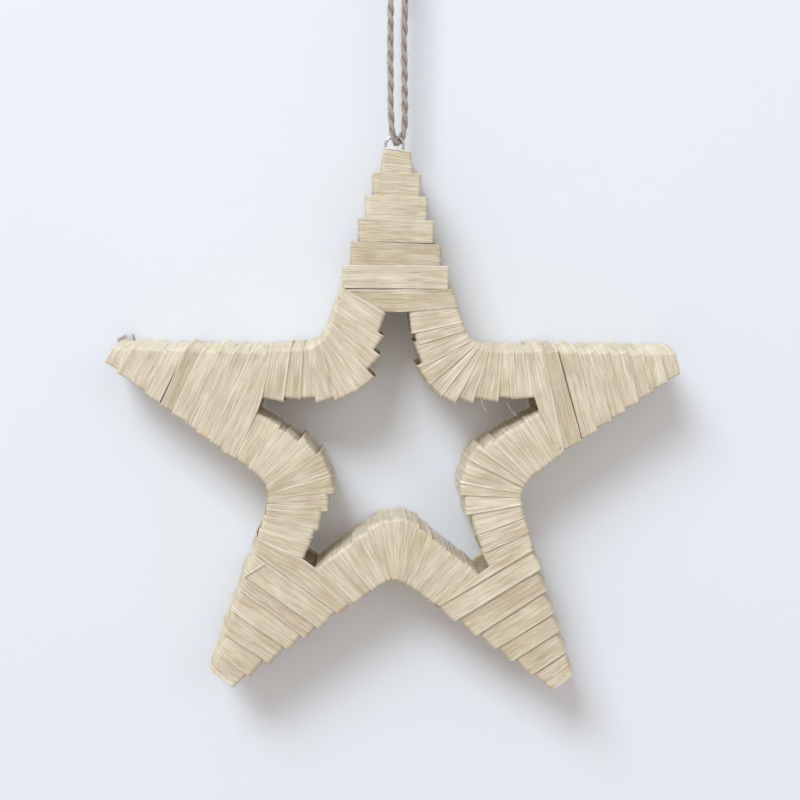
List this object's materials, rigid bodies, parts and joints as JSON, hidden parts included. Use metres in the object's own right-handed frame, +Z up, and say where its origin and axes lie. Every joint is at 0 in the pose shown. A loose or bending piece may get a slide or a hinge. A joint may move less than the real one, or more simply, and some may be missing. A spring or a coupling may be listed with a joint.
{
  "type": "straw star ornament",
  "caption": "Open five-pointed star wound with flat straw strip, hung by a knotted twine loop from a wire eye in its top point.",
  "frame": {"origin": "inside top of the twine loop, where the nail that carries the star bears", "axes": "+Z up, +Y away from the viewer and out of the star's flat back, +X to the viewer's right"},
  "size_m": [0.3039, 0.035, 0.4058],
  "materials": {
    "straw": "satin straw strip with fine lengthwise grain",
    "steel_wire": "bright drawn wire",
    "jute_twine": "two-ply jute, hairy and matt"
  },
  "bodies": {
    "root": {"top_arm_wrap": "straw", "left_arm_wrap": "straw", "lower_left_arm_wrap": "straw", "lower_right_arm_wrap": "straw", "right_arm_wrap": "straw", "upper_left_bend_wrap": "straw", "lower_left_bend_wrap": "straw", "bottom_bend_wrap": "straw", "lower_right_bend_wrap": "straw", "upper_right_bend_wrap": "straw", "hanging_eye": "steel_wire", "twine_loop": "jute_twine", "twine_knot": "jute_twine"}
  },
  "joints": []
}
